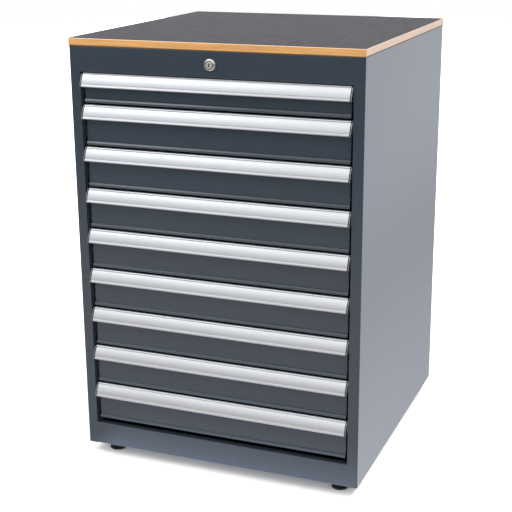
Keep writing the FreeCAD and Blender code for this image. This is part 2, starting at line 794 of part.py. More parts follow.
def drawer_front(number):
    body = drawer_body(number, "front")
    face = "Sizes.panel_recess"
    sheet_thickness = "Sizes.panel_sheet"
    bead = "Sizes.bead_radius"
    low = "Sizes.panel_bottom_gap"
    bead_level = f"({low} + {bead})"
    top = f"({module_of(number)} - Sizes.panel_top_gap)"
    half = f"({OPENING_HALF} - Sizes.panel_side_gap)"
    profile = new_sketch(body, "YZ_Plane")
    outline(
        profile,
        [
            (BOX_FRONT, top),
            (face, top),
            (face, f"({bead_level} + {bead})", bead, -1),
            (f"({face} - {bead})", bead_level, bead, -1),
            (face, low),
            (BOX_FRONT, low),
        ],
    )
    pad(body, profile, f"2 * {half}", midplane=True)
    hollow = new_sketch(body, "YZ_Plane")
    rear = f"({BOX_FRONT} - {sheet_thickness})"
    inner_face = f"({face} + {sheet_thickness})"
    outline(
        hollow,
        [
            (rear, f"({top} - {sheet_thickness})"),
            (inner_face, f"({top} - {sheet_thickness})"),
            (inner_face, f"({bead_level} + {bead})"),
            (f"({face} - {bead} + {sheet_thickness})", bead_level),
            (inner_face, f"({low} + {sheet_thickness})"),
            (rear, f"({low} + {sheet_thickness})"),
        ],
    )
    pocket(body, hollow, f"2 * ({half} - {sheet_thickness})", midplane=True)
    window = new_sketch(body, "XZ_Plane", f"-{rear}")
    inner_half = f"({half} - {sheet_thickness})"
    window_low = f"({low} + Sizes.panel_lip)"
    rectangle(window, f"-{inner_half}", window_low, inner_half, f"({top} - Sizes.panel_lip)")
    pocket(body, window, sheet_thickness)


def drawer_handle(number):
    body = drawer_body(number, "handle")
    top = f"({module_of(number)} - Sizes.handle_top_gap)"
    low = f"({top} - Sizes.handle_height)"
    face = "Sizes.panel_recess"
    wall = "Sizes.handle_wall"
    groove = "Sizes.handle_groove"
    tip = f"({face} - Sizes.handle_projection)"
    crown = f"({face} - Sizes.handle_crown_reach)"
    crown_low = f"({top} - Sizes.handle_crown_height)"
    lip_face = f"({tip} + Sizes.handle_lip_reach)"
    lip_top = f"({low} + Sizes.handle_lip_height)"
    sketch = new_sketch(body, "YZ_Plane")
    outline(
        sketch,
        [
            (face, top),
            (f"({crown} + Sizes.handle_crown_height)", top, "Sizes.handle_crown_height", -1),
            (crown, crown_low),
            (f"({crown} + {groove})", crown_low),
            (f"({crown} + {groove})", f"({crown_low} - {groove})"),
            (crown, f"({crown_low} - {groove})", "Sizes.handle_sweep_radius", -1),
            (lip_face, f"({lip_top} + {groove})"),
            (f"({lip_face} + {groove})", f"({lip_top} + {groove})"),
            (f"({lip_face} + {groove})", lip_top),
            (lip_face, lip_top, "Sizes.handle_lip_radius", -1),
            (tip, f"({low} + {wall})", wall, -1),
            (f"({tip} + {wall})", low),
            (f"({tip} + {wall} + {groove})", f"({low} + {wall})"),
            (f"({lip_face} + {wall} + {groove})", f"({lip_top} - {groove})"),
            (f"({crown} + {wall})", f"({crown_low} - {wall})"),
            (f"({face} - {wall})", f"({top} - {wall})"),
            (f"({face} - {wall})", f"({top} - Sizes.handle_flange)"),
            (face, f"({top} - Sizes.handle_flange)"),
        ],
    )
    pad(body, sketch, f"2 * {HANDLE_HALF}", midplane=True)


def drawer_caps(number):
    body = drawer_body(number, "caps")
    top = f"({module_of(number)} - Sizes.handle_top_gap)"
    low = f"({top} - Sizes.handle_height)"
    face = "Sizes.panel_recess"
    wall = "Sizes.handle_wall"
    tip = f"({face} - Sizes.handle_projection)"
    crown = f"({face} - Sizes.handle_crown_reach)"
    lip_face = f"({tip} + Sizes.handle_lip_reach)"
    lip_top = f"({low} + Sizes.handle_lip_height)"
    sketch = new_sketch(body, "YZ_Plane", HANDLE_HALF)
    outline(
        sketch,
        [
            (face, top),
            (f"({crown} + Sizes.handle_crown_height)", top, "Sizes.handle_crown_height", -1),
            (crown, f"({top} - Sizes.handle_crown_height)", "Sizes.handle_sweep_radius", -1),
            (lip_face, lip_top, "Sizes.handle_lip_radius", -1),
            (tip, f"({low} + {wall})"),
            (f"({tip} + {wall})", low),
            (face, low),
        ],
    )
    cap = pad(body, sketch, "Sizes.cap_thickness")
    doc.recompute()
    repeat(body, [cap], mirrored=True)


def drawer_carriage(number):
    body = drawer_body(number, "carriage")
    half_rail = "(Sizes.rail_height / 2 - Sizes.rail_sheet - Sizes.carriage_clearance)"
    top = f"(Sizes.rail_level + {half_rail})"
    low = f"(Sizes.rail_level - {half_rail})"
    under_top = f"({top} - Sizes.carriage_flange)"
    over_low = f"({low} + Sizes.carriage_flange)"
    front = f"({BOX_FRONT} + Sizes.carriage_front_gap)"
    sketch = new_sketch(body, "XZ_Plane", f"-{front}")
    outline(
        sketch,
        [
            (CARRIAGE_INNER, low),
            (CARRIAGE_OUTER, low),
            (CARRIAGE_OUTER, over_low),
            (WEB_OUTER, over_low),
            (WEB_OUTER, under_top),
            (CARRIAGE_OUTER, under_top),
            (CARRIAGE_OUTER, top),
            (CARRIAGE_INNER, top),
            (CARRIAGE_INNER, under_top),
            (WEB_INNER, under_top),
            (WEB_INNER, over_low),
            (CARRIAGE_INNER, over_low),
        ],
    )
    member = pad(body, sketch, f"({BOX_REAR} - Sizes.carriage_rear_gap - {front})", back=True)
    doc.recompute()
    repeat(body, [member], mirrored=True)


side_panel("side_panel_left", -1)
side_panel("side_panel_right", 1)
base_panel()
top_panel()
rear_panel()
worktop()
levelling_feet()
foot_studs()
rail_uprights()
cabinet_rails()
lock_cylinder()
lock_barrel()
lock_bar()
lock_brackets()
for drawer in range(1, DRAWERS + 1):
    drawer_box(drawer)
    drawer_front(drawer)
    drawer_handle(drawer)
    drawer_caps(drawer)
    drawer_carriage(drawer)
doc.recompute()

for item in doc.Objects:
    if "Invalid" in item.State or "Error" in item.State:
        raise RuntimeError(f"{item.Label} failed: {item.State}")
for sub_part in sub_parts:
    if sub_part.Shape.isNull() or not sub_part.Shape.isValid():
        raise RuntimeError(f"{sub_part.Label} has no valid shape")

os.makedirs("parts", exist_ok=True)
for sub_part in sub_parts:
    sub_part.Shape.exportStep(f"parts/{sub_part.Label}.step")
print(len(sub_parts), "sub-parts written")
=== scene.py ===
import json
import math

import bpy
from bpy.props import FloatProperty, FloatVectorProperty, IntProperty, PointerProperty
from mathutils import Matrix, Vector

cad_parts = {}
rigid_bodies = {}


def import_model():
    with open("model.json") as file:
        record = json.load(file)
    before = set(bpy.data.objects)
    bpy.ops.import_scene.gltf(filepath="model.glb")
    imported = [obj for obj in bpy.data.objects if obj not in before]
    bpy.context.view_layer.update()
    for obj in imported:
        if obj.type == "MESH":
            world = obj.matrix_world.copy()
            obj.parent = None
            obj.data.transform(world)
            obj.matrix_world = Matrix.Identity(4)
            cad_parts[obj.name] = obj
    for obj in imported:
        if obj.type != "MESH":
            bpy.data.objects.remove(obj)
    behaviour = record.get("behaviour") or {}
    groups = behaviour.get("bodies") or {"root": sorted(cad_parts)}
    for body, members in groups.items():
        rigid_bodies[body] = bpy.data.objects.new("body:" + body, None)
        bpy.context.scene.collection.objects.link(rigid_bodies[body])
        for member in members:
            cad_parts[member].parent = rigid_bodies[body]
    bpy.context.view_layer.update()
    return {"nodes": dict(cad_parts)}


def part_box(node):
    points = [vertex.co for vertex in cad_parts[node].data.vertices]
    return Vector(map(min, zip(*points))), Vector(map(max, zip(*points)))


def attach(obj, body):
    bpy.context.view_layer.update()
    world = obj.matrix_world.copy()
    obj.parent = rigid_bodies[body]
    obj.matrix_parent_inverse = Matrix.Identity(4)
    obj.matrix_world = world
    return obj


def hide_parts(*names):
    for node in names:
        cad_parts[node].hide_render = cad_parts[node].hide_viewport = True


bl_info = {
    "name": "Tool cabinet",
    "version": (1, 0, 0),
    "blender": (4, 5, 0),
    "location": "View3D > Sidebar > Tool cabinet",
    "description": "Finishes a nine-drawer tool cabinet and sets up its studio",
    "category": "Object",
}

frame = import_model()
DRAWERS = range(1, 10)
LOCK_LOW, LOCK_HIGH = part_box("lock_cylinder")
LOCK_CENTRE = (LOCK_LOW + LOCK_HIGH) / 2
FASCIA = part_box("top_panel")[0].y
LOCK_FACE = Vector((LOCK_CENTRE.x, FASCIA, LOCK_CENTRE.z))
UP = Vector((0, 0, 1))
REARWARD = Vector((0, 1, 0))
FULL_TURN = 2 * math.pi

# Lengths in metres
POLE = 0.00001  # radius of the ring that closes a turned form
WELD = 0.000003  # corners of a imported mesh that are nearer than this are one
TOUCH = 0.00005  # faces and edges that are nearer than this to a plane lie in it

# Angles in degrees
SEAM = 0.5  # between triangles that make one flat face
ROUNDED = 24  # edges from here on are rounded
SHARP = 34  # edges from here on stay sharp in the shading
SHARP_BEAD = 22  # the same, on a front's rolled lower edge
SHARP_TRAY = 30  # the same, on a drawer box

WHITE = (1, 1, 1, 1)
PATHS = ("Is Camera Ray", "Is Glossy Ray", "Is Transmission Ray")

# Sockets of the Mix node that belong to colours
MIX_FACTOR, MIX_FIRST, MIX_SECOND = 0, 6, 7
MIX_RESULT = 2


# Shader expressions


class Value:
    """A shader socket that can be used in plain expressions."""

    def __init__(self, finish, socket):
        self.finish = finish
        self.socket = socket

    def maths(self, operation, left, right=0.0):
        return self.finish.node("ShaderNodeMath", {"operation": operation}, {0: left, 1: right})

    def __add__(self, other):
        return self.maths("ADD", self, other)

    def __radd__(self, other):
        return self.maths("ADD", other, self)

    def __sub__(self, other):
        return self.maths("SUBTRACT", self, other)

    def __rsub__(self, other):
        return self.maths("SUBTRACT", other, self)

    def __mul__(self, other):
        return self.maths("MULTIPLY", self, other)

    def __rmul__(self, other):
        return self.maths("MULTIPLY", other, self)

    def __truediv__(self, other):
        return self.maths("DIVIDE", self, other)

    def __rtruediv__(self, other):
        return self.maths("DIVIDE", other, self)

    def __gt__(self, other):
        return self.maths("GREATER_THAN", self, other)

    def __lt__(self, other):
        return self.maths("LESS_THAN", self, other)

    def wave(self):
        return self.maths("SINE", self)

    def root(self):
        return self.maths("SQRT", self)

    def size(self):
        return self.maths("ABSOLUTE", self)

    def limited(self):
        return self.maths("MINIMUM", self.maths("MAXIMUM", self, 0.0), 1.0)

    def rise(self, start, rate):
        """0 up to the start, then rising at the rate until it is 1."""
        return ((self - start) * rate).limited()


class Finish:
    """The nodes of one material or of the world."""

    def __init__(self, tree):
        self.tree = tree
        self.shader = None
        tree.nodes.clear()

    def node(self, kind, settings=None, inputs=None, output=0):
        """Add a node, set it up, feed its sockets and give one of its outputs."""
        made = self.tree.nodes.new(kind)
        for name, setting in (settings or {}).items():
            setattr(made, name, setting)
        for name, value in (inputs or {}).items():
            self.feed(made.inputs[name], value)
        return Value(self, made.outputs[output]) if made.outputs else None

    def feed(self, socket, value):
        if isinstance(value, Value):
            self.tree.links.new(value.socket, socket)
        else:
            socket.default_value = value

    def feed_shader(self, **values):
        """Feed the shader's sockets, with an underscore for each space in their names."""
        for name, value in values.items():
            self.feed(self.shader.inputs[name.replace("_", " ")], value)

    def place(self, scale=(1, 1, 1), shift=(0, 0, 0)):
        """Object coordinates, stretched and shifted."""
        spot = self.node("ShaderNodeTexCoord", output="Object")
        inputs = {"Vector": spot, "Scale": scale, "Location": shift}
        return self.node("ShaderNodeMapping", inputs=inputs)

    def split(self, vector):
        """The three numbers of a vector."""
        kind = "ShaderNodeSeparateXYZ"
        return [self.node(kind, inputs={0: vector}, output=axis) for axis in range(3)]

    def grain(self, scale, stretch=(1, 1, 1), detail=2.0, roughness=0.5):
        """A noise between 0 and 1."""
        inputs = {
            "Vector": self.place(stretch),
            "Scale": scale,
            "Detail": detail,
            "Roughness": roughness,
        }
        return self.node("ShaderNodeTexNoise", inputs=inputs)

    def blend(self, factor, first, second):
        """A colour between two colours."""
        settings = {"data_type": "RGBA"}
        inputs = {MIX_FACTOR: factor, MIX_FIRST: first, MIX_SECOND: second}
        return self.node("ShaderNodeMix", settings, inputs, output=MIX_RESULT)

    def bump(self, height, strength, distance):
        """A normal that is tilted by the slope of a height."""
        inputs = {"Height": height, "Strength": strength, "Distance": distance}
        return self.node("ShaderNodeBump", inputs=inputs)

    def diffuse(self, colour):
        return self.node("ShaderNodeBsdfDiffuse", inputs={"Color": colour})

    def emission(self, colour, strength):
        return self.node("ShaderNodeEmission", inputs={"Color": colour, "Strength": strength})

    def background(self, strength):
        inputs = {"Color": WHITE, "Strength": strength}
        return self.node("ShaderNodeBackground", inputs=inputs)

    def add(self, first, second):
        """Two shaders added up."""
        return self.node("ShaderNodeAddShader", inputs={0: first, 1: second})

    def mix(self, factor, first, second):
        """A shader between two shaders."""
        return self.node("ShaderNodeMixShader", inputs={0: factor, 1: first, 2: second})

    def rays(self):
        """A mask of the rays that show a thing straight, and one of the mirrored rays."""
        camera, glossy, glass = [self.node("ShaderNodeLightPath", output=kind) for kind in PATHS]
        return (camera + glass).limited(), glossy


def shade(colour, factor):
    """A colour made darker or lighter, with full alpha."""
    return tuple(min(part * factor, 1.0) for part in colour[:3]) + (1.0,)


def finish_of(slot):
    """The finish that was made under a slot's name."""
    return bpy.data.materials[f"{slot}_finish"]


def material(name, **numbers):
    """Start a material, with some of its shader's sockets set to plain numbers."""
    made = bpy.data.materials.new(f"{name}_finish")
    made.use_nodes = True
    finish = Finish(made.node_tree)
    shader = finish.node("ShaderNodeBsdfPrincipled")
    finish.shader = shader.socket.node
    finish.node("ShaderNodeOutputMaterial", inputs={"Surface": shader})
    finish.feed_shader(**numbers)
    return finish


def paint(name, colour, roughness):
    """Powder coat: an even colour with a fine pebbled skin."""
    finish = material(name, Specular_IOR_Level=0.7)
    pebbles = finish.grain(900.0)
    drift = finish.grain(3.0, detail=1.0)
    mottle = pebbles * 0.6 + drift * 0.4
    finish.feed_shader(
        Base_Color=finish.blend(mottle, shade(colour, 0.88), shade(colour, 1.12)),
        Roughness=roughness - 0.04 + pebbles * 0.08,
        Normal=finish.bump(pebbles, strength=0.03, distance=0.0001),
    )


def aluminium(name, colour):
    """Satin anodised extrusion with fine lines along its length."""
    finish = material(name)
    lines = finish.grain(1.0, stretch=(2, 3600, 3600), roughness=0.6)
    cloud = finish.grain(9.0, detail=1.0)
    mottle = lines * 0.7 + cloud * 0.3
    finish.feed_shader(
        Base_Color=finish.blend(mottle, shade(colour, 0.94), shade(colour, 1.04)),
        Metallic=1.0 - lines * 0.04,
        Roughness=0.38 + lines * 0.08,
        Normal=finish.bump(lines, strength=0.012, distance=0.00005),
    )


def plastic(name, colour, roughness):
    """Moulded plastic with fine pits and slightly worn patches."""
    finish = material(name, Specular_IOR_Level=0.22)
    pits = finish.grain(2600.0, detail=1.0)
    worn = finish.grain(60.0, detail=3.0)
    finish.feed_shader(
        Base_Color=finish.blend(worn, shade(colour, 0.85), shade(colour, 1.25)),
        Roughness=roughness + worn * 0.12,
        Normal=finish.bump(pits, strength=0.1, distance=0.0001),
    )


def wood(name, colour, shadow_line, rim):
    """Board edge with streaks and short pores, a painted shadow below the shadow line and a
    painted highlight above the rim.
    """
    finish = material(name, Coat_Roughness=0.1)
    streaks = finish.grain(1.0, stretch=(16, 16, 420), detail=4.0, roughness=0.65)
    bands = finish.grain(1.0, stretch=(3, 3, 150))
    pores = finish.grain(1.0, stretch=(150, 150, 2600), detail=1.0)
    figure = ((streaks * 0.6 + bands * 0.4 - 0.5) * 3.0 + 0.5).limited()
    dark = pores.rise(start=0.62, rate=9.0) * 0.35
    _, _, height = finish.split(finish.place())
    # Below the shadow line the colour is near black, without coat and rough: a painted shadow
    # under the board.
    foot = height < shadow_line
    # A pale colour along the top of the edge: a painted highlight.
    highlight_tone = (1.0, 0.84, 0.62, 1.0)
    tone = finish.blend(figure, shade(colour, 0.74), shade(colour, 1.2))
    tone = finish.blend(dark, tone, shade(colour, 0.55))
    tone = finish.blend((height > rim) * 0.75, tone, highlight_tone)
    finish.feed_shader(
        Base_Color=finish.blend(foot * 0.95, tone, shade(colour, 0.2)),
        Coat_Weight=0.5 - foot * 0.5,
        Roughness=0.16 + streaks * 0.1 + foot * 0.6,
        Normal=finish.bump(streaks - dark, strength=0.2, distance=0.0002),
    )


def facing(name, colour, pitch):
    """Film facing pressed with a fine crossed mesh and wider ribs from front to back."""
    finish = material(name, Specular_IOR_Level=0.09)
    across, along, _ = finish.split(finish.place())
    turn = FULL_TURN / pitch
    slant = 0.6
    lean = 0.08
    meshes_per_rib = 1.9
    first = ((across + along * slant) * turn).wave().size()
    second = ((across - along * slant) * turn).wave().size()
    knots = first * second
    cloud = finish.grain(14.0, detail=3.0)
    drift = finish.grain(8.0)
    streaks = finish.grain(1.0, stretch=(110, 12, 1))
    phase = (across - along * lean) * (turn / meshes_per_rib) + drift * 2.0
    ribs = phase.wave() * 0.5 + 0.5
    # The colour follows the streaks, which are random tone, and the pressed ribs and mesh,
    # lighter on their crests and darker in their troughs: painted shade and sheen.
    streaks_and_relief_shade = (ribs * 0.6 + (streaks - 0.3) * 0.9).limited() * 0.85 + knots * 0.15
    finish.feed_shader(
        Base_Color=finish.blend(streaks_and_relief_shade, shade(colour, 0.1), shade(colour, 2.2)),
        Roughness=0.48 + cloud * 0.06 + ribs * 0.08,
        Normal=finish.bump(knots * 0.4 + ribs, strength=0.35, distance=0.0005),
    )


def steel(name, colour, roughness, cells):
    """Zinc plated steel with a faint crystal pattern and rolling marks."""
    finish = material(name)
    inputs = {"Vector": finish.place(), "Scale": cells}
    plates = finish.node("ShaderNodeTexVoronoi", inputs=inputs)
    marks = finish.grain(1.0, stretch=(40, 40, 1600))
    mottle = plates * 0.5 + marks * 0.4
    finish.feed_shader(
        Base_Color=finish.blend(mottle, shade(colour, 0.82), shade(colour, 1.1)),
        Metallic=0.94 - plates * 0.06,
        Roughness=roughness + plates * 0.1 + marks * 0.05,
        Normal=finish.bump(marks, strength=0.08, distance=0.0001),
    )


def threaded(name, colour, nut_low, nut_high):
    """Zinc plated threaded rod whose nut stays plain."""
    finish = material(name)
    _, _, height = finish.split(finish.place())
    pitch = 0.0015
    bare = 1.0 - (height > nut_low) * (height < nut_high)
    thread = (height * (FULL_TURN / pitch)).wave() * bare
    dust = finish.grain(300.0)
    # The colour is darker in the thread's roots and lighter on its crests, a painted shade; the
    # dust is random tone.
    mottle = dust * 0.5 + thread * 0.25 + 0.25
    finish.feed_shader(
        Base_Color=finish.blend(mottle, shade(colour, 0.7), shade(colour, 1.1)),
        Metallic=0.95 - dust * 0.05,
        Roughness=0.32 + dust * 0.15,
        Normal=finish.bump(thread, strength=0.8, distance=0.0004),
    )


def bright_metal(name, colour, roughness, ring, plating):
    """Plated metal turned about the lock's axis; ring is the spacing of its tool marks."""
    finish = material(name)
    shift = (-LOCK_CENTRE.x, 0, -LOCK_CENTRE.z)
    across, _, up = finish.split(finish.place(shift=shift))
    radius = (across * across + up * up).root()
    rings = (radius * (FULL_TURN / ring)).wave() * 0.5 + 0.5
    smear = finish.grain(220.0, detail=3.0)
    mottle = smear * 0.7 + rings * 0.3
    finish.feed_shader(
        Base_Color=finish.blend(mottle, shade(colour, 0.86), shade(colour, 1.05)),
        Metallic=plating - smear * 0.05,
        Roughness=roughness + smear * 0.08,
        Normal=finish.bump(rings, strength=0.06, distance=0.00005),
    )


# Modelling steps


def deselect():
    bpy.ops.object.select_all(action="DESELECT")


def choose(piece):
    """Make one object the only selected one."""
    deselect()
    piece.select_set(True)
    bpy.context.view_layer.objects.active = piece


def named(piece, name):
    """Name an object and its mesh."""
    piece.name = name
    piece.data.name = name
    return piece


def settle(piece):
    """Put an object's place into its mesh."""
    choose(piece)
    bpy.ops.object.transform_apply(location=True, rotation=True, scale=True)
    return piece


def joined_copy(node, name):
    """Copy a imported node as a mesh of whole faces."""
    choose(frame["nodes"][node])
    bpy.ops.object.duplicate(linked=False)
    piece = bpy.context.object
    bpy.ops.object.parent_clear(type="CLEAR_KEEP_TRANSFORM")
    for key in list(piece.keys()):
        del piece[key]
    piece.data.materials.clear()
    bpy.ops.mesh.customdata_custom_splitnormals_clear()
    bpy.ops.object.mode_set(mode="EDIT")
    bpy.ops.mesh.select_all(action="SELECT")
    bpy.ops.mesh.remove_doubles(threshold=WELD)
    bpy.ops.mesh.dissolve_limited(angle_limit=math.radians(SEAM))
    bpy.ops.object.mode_set(mode="OBJECT")
    return named(piece, name)


def smooth(piece, degrees):
    """Shade a piece smooth up to an angle, with its wide faces kept flat."""
    choose(piece)
    bpy.ops.object.shade_smooth_by_angle(angle=math.radians(degrees))
    level = piece.modifiers.new("level", "WEIGHTED_NORMAL")
    level.keep_sharp = True
    bpy.ops.object.modifier_apply(modifier=level.name)
    return piece


def round_edges(width, segments):
    """Round the edges that are selected in edit mode."""
    bpy.ops.mesh.bevel(
        offset=width, segments=segments, profile=0.5, affect="EDGES", clamp_overlap=True
    )


def soften(piece, width, segments):
    """Round every sharp edge a little and shade the rest smooth."""
    choose(piece)
    bpy.ops.object.mode_set(mode="EDIT")
    bpy.ops.mesh.select_mode(type="EDGE")
    bpy.ops.mesh.select_all(action="DESELECT")
    bpy.ops.mesh.edges_select_sharp(sharpness=math.radians(ROUNDED))
    round_edges(width, segments)
    bpy.ops.object.mode_set(mode="OBJECT")
    return smooth(piece, SHARP)


def pick_faces(piece, wanted):
    """Select, in edit mode, the faces whose middle and normal are wanted."""
    bpy.ops.mesh.select_mode(type="FACE")
    bpy.ops.mesh.select_all(action="DESELECT")
    bpy.ops.object.mode_set(mode="OBJECT")
    for face in piece.data.polygons:
        face.select = wanted(face.center, face.normal)
    bpy.ops.object.mode_set(mode="EDIT")


def pick_edges(piece, wanted):
    """Select, in edit mode, the edges whose two ends are wanted."""
    bpy.ops.mesh.select_mode(type="EDGE")
    bpy.ops.mesh.select_all(action="DESELECT")
    bpy.ops.object.mode_set(mode="OBJECT")
    places = piece.data.vertices
    for edge in piece.data.edges:
        first, second = edge.vertices
        edge.select = bool(wanted(places[first].co, places[second].co))
    bpy.ops.object.mode_set(mode="EDIT")


def turned(name, centre, along, steps, sides):
    """Turn a closed form from (radius, distance) steps, ring by ring."""
    deselect()
    upright = abs(along.z) > 0.5
    tilt = (0, 0, 0) if upright else (math.radians(90), 0, 0)
    radius, travel = steps[0]
    bpy.ops.mesh.primitive_circle_add(
        vertices=sides,
        radius=radius,
        fill_type="NOTHING",
        location=centre + along * travel,
        rotation=tilt,
    )
    piece = bpy.context.object
    bpy.ops.object.mode_set(mode="EDIT")
    bpy.ops.mesh.select_mode(type="VERT")
    bpy.ops.mesh.select_all(action="SELECT")
    for (radius, travel), (next_radius, next_travel) in zip(steps, steps[1:]):
        step = along * (next_travel - travel)
        bpy.ops.mesh.extrude_region_move(TRANSFORM_OT_translate={"value": step})
        ratio = next_radius / radius
        scale = (ratio, ratio, 1) if upright else (ratio, 1, ratio)
        bpy.ops.transform.resize(value=scale, center_override=centre + along * next_travel)
    bpy.ops.mesh.select_all(action="SELECT")
    bpy.ops.mesh.remove_doubles(threshold=3 * POLE)
    bpy.ops.mesh.normals_make_consistent(inside=False)
    bpy.ops.object.mode_set(mode="OBJECT")
    settle(piece)
    bpy.ops.object.shade_smooth_by_angle(angle=math.radians(SHARP))
    return named(piece, name)


def copy_at(piece, shift, name):
    """Copy a finished piece with its own mesh to another place."""
    choose(piece)
    bpy.ops.object.duplicate(linked=False)
    twin = bpy.context.object
    bpy.ops.transform.translate(value=shift)
    settle(twin)
    return named(twin, name)


def join(pieces, name):
    """Make several meshes one object."""
    choose(pieces[0])
    for piece in pieces:
        piece.select_set(True)
    bpy.ops.object.join()
    return named(bpy.context.object, name)


def repeated(piece, shifts, name):
    """Copy a finished piece to other places and join it with its copies."""
    copies = [copy_at(piece, Vector(shift), piece.name) for shift in shifts]
    return join([piece, *copies], name)


def block(low, high, name):
    """A plain block between two corners, used only to cut with or to start a piece."""
    deselect()
    bpy.ops.mesh.primitive_cube_add(size=1, location=(low + high) / 2, scale=high - low)
    return named(settle(bpy.context.object), name)


def row(piece, count, spacing):
    """Repeat a mesh in a row and apply it."""
    choose(piece)
    array = piece.modifiers.new("row", "ARRAY")
    array.use_relative_offset = False
    array.use_constant_offset = True
    array.constant_offset_displace = spacing
    array.count = count
    bpy.ops.object.modifier_apply(modifier=array.name)
    return piece


def cut(piece, cutter):
    """Cut one mesh out of another."""
    choose(piece)
    tool = piece.modifiers.new("cut", "BOOLEAN")
    tool.operation = "DIFFERENCE"
    tool.solver = "EXACT"
    tool.object = cutter
    bpy.ops.object.modifier_apply(modifier=tool.name)
    bpy.data.objects.remove(cutter)
    return piece


def dress(piece, slot, body, *nodes):
    """Give a piece its finish and the body that it rides on, and hide the nodes that it stands
    for.
    """
    piece.data.materials.clear()
    piece.data.materials.append(finish_of(slot))
    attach(piece, body)
    if nodes:
        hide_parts(*nodes)


def coat(slot, *nodes):
    """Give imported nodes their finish."""
    for node in nodes:
        frame["nodes"][node].material_slots[0].material = finish_of(slot)


# Settings


class CabinetColours(bpy.types.PropertyGroup):
    """Colours of the cabinet's finishes."""

    housing: FloatVectorProperty(
        name="Housing paint",
        description="Powder coat of the housing and the drawer fronts",
        subtype="COLOR",
        min=0,
        max=1,
        default=(0.0395, 0.0535, 0.071),
    )
    trays: FloatVectorProperty(
        name="Drawer box paint",
        description="Powder coat of the drawer boxes",
        subtype="COLOR",
        min=0,
        max=1,
        default=(0.5, 0.52, 0.52),
    )
    grips: FloatVectorProperty(
        name="Grip aluminium",
        description="Anodised handles",
        subtype="COLOR",
        min=0,
        max=1,
        default=(0.78, 0.795, 0.825),
    )
    caps: FloatVectorProperty(
        name="End caps",
        description="Plastic caps on the handles",
        subtype="COLOR",
        min=0,
        max=1,
        default=(0.014, 0.016, 0.019),
    )
    board: FloatVectorProperty(
        name="Board edge",
        description="Wood of the worktop board",
        subtype="COLOR",
        min=0,
        max=1,
        default=(0.74, 0.384, 0.141),
    )
    mat: FloatVectorProperty(
        name="Worktop facing",
        description="Anti-slip film on the worktop",
        subtype="COLOR",
        min=0,
        max=1,
        default=(0.05, 0.0468, 0.056),
    )
    feet: FloatVectorProperty(
        name="Feet",
        description="Plastic of the levelling feet",
        subtype="COLOR",
        min=0,
        max=1,
        default=(0.006, 0.006, 0.007),
    )
    zinc: FloatVectorProperty(
        name="Zinc plating",
        description="Rails, studs and the lock's inner pieces",
        subtype="COLOR",
        min=0,
        max=1,
        default=(0.6, 0.61, 0.63),
    )
    rosette: FloatVectorProperty(
        name="Chrome",
        description="Rosette of the lock",
        subtype="COLOR",
        min=0,
        max=1,
        default=(0.87, 0.87, 0.88),
    )
    plug: FloatVectorProperty(
        name="Lock plug",
        description="Nickel plated barrel with the key slot",
        subtype="COLOR",
        min=0,
        max=1,
        default=(0.8, 0.74, 0.67),
    )
    # Near black: painted shade in the key slot rather than the wafers' own metal.
    wafers: FloatVectorProperty(
        name="Wafers",
        description="Dark plates inside the key slot",
        subtype="COLOR",
        min=0,
        max=1,
        default=(0.008, 0.007, 0.006),
    )


class CabinetSizes(bpy.types.PropertyGroup):
    """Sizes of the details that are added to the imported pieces."""

    grip_edge: FloatProperty(
        name="Grip edge",
        description="Rounding of the handle's edges",
        default=0.00028,
        unit="LENGTH",
        min=0.00002,
    )
    cap_rim: FloatProperty(
        name="Cap rim",
        description="Raised rim round a cap's face",
        default=0.0006,
        unit="LENGTH",
        min=0.0002,
    )
    cap_edge: FloatProperty(
        name="Cap edge",
        description="Rounding of the cap's edges",
        default=0.0001,
        unit="LENGTH",
        min=0.00002,
    )
    cap_depth: FloatProperty(
        name="Cap depth",
        description="How deep a cap's face lies in its rim",
        default=0.0006,
        unit="LENGTH",
        min=0.0001,
    )
    front_edge: FloatProperty(
        name="Front edge",
        description="Rounding of a drawer front's bends",
        default=0.0008,
        unit="LENGTH",
        min=0.0001,
    )
    bead_radius: FloatProperty(
        name="Bead radius",
        description="Radius of a front's rolled lower edge",
        default=0.005,
        unit="LENGTH",
        min=0.001,
    )
    slot_width: FloatProperty(
        name="Slot width",
        description="Width of a divider slot",
        default=0.003,
        unit="LENGTH",
        min=0.001,
    )
    slot_height: FloatProperty(
        name="Slot height",
        description="Height of a divider slot",
        default=0.0095,
        unit="LENGTH",
        min=0.002,
    )
    slot_below_rim: FloatProperty(
        name="Slot below rim",
        description="From the box's rim to a slot",
        default=0.006,
        unit="LENGTH",
        min=0.002,
    )
    slot_pitch: FloatProperty(
        name="Slot pitch",
        description="Spacing of the divider slots",
        default=0.025,
        unit="LENGTH",
        min=0.01,
    )
    slots: IntProperty(name="Slots", description="Divider slots in each row", default=23, min=1)
    rivet_radius: FloatProperty(
        name="Rivet radius",
        description="Blind rivets of the rear panel",
        default=0.0034,
        unit="LENGTH",
        min=0.001,
    )
    rivets: IntProperty(
        name="Rivets", description="Rivets down each rear flange", default=6, min=2
    )
    mesh_pitch: FloatProperty(
        name="Mesh pitch",
        description="Pitch of the worktop's pressed mesh",
        default=0.0066,
        unit="LENGTH",
        min=0.001,
    )


